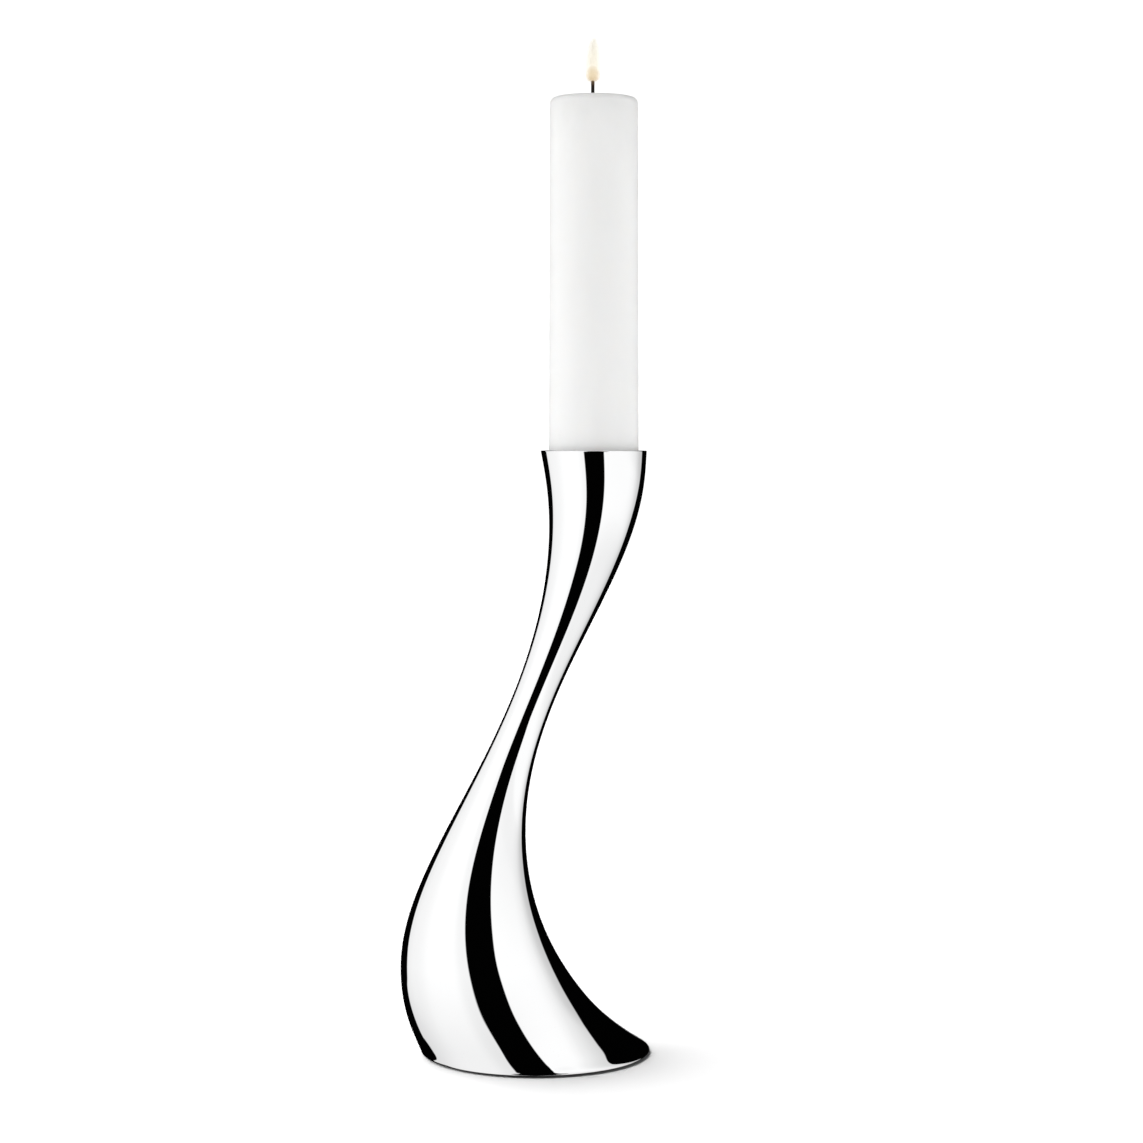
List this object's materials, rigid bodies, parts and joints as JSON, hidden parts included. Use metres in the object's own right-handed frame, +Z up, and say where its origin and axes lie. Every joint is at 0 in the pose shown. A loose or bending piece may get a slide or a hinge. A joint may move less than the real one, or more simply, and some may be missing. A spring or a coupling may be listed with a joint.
{
  "type": "candlestick",
  "caption": "Mirror-polished S-shaped candlestick on a round weighted foot, with a turned cup in its flared rim holding a white pillar candle.",
  "frame": {"origin": "middle of the felt pad's underside, on the surface that the foot stands on", "axes": "+Z up, towards the candle's wick; +X towards the side that the rim leans over; the XZ plane is the mirror plane"},
  "size_m": [0.1654, 0.152, 0.6422],
  "materials": {
    "polished_metal": "mirror-polished silver-coloured metal",
    "cup_metal": "fine turned satin",
    "plate_metal": "plain rolled steel",
    "fastener_zinc": "bright zinc plated",
    "ballast_iron": "as cast, dark",
    "seal_rubber": "matte silicone",
    "pad_felt": "pressed black felt",
    "candle_wax": "smooth white paraffin wax",
    "wick_cotton": "charred braided cotton"
  },
  "bodies": {
    "holder": {"body_shell": "polished_metal", "foot_ring": "plate_metal", "base_plate": "plate_metal", "ballast_weight": "ballast_iron", "ballast_bolt": "fastener_zinc", "ballast_washer": "fastener_zinc", "ballast_nut": "fastener_zinc", "base_screw_1": "fastener_zinc", "base_screw_2": "fastener_zinc", "base_screw_3": "fastener_zinc", "base_screw_4": "fastener_zinc", "felt_pad": "pad_felt", "candle_cup": "cup_metal", "cup_seal": "seal_rubber"},
    "candle": {"candle_wax": "candle_wax", "candle_wick": "wick_cotton"}
  },
  "joints": [
    {"name": "candle_lift", "type": "slide", "parent": "holder", "child": "candle", "axis": [0, 0, 1], "range_m": [0, 0.05]}
  ]
}
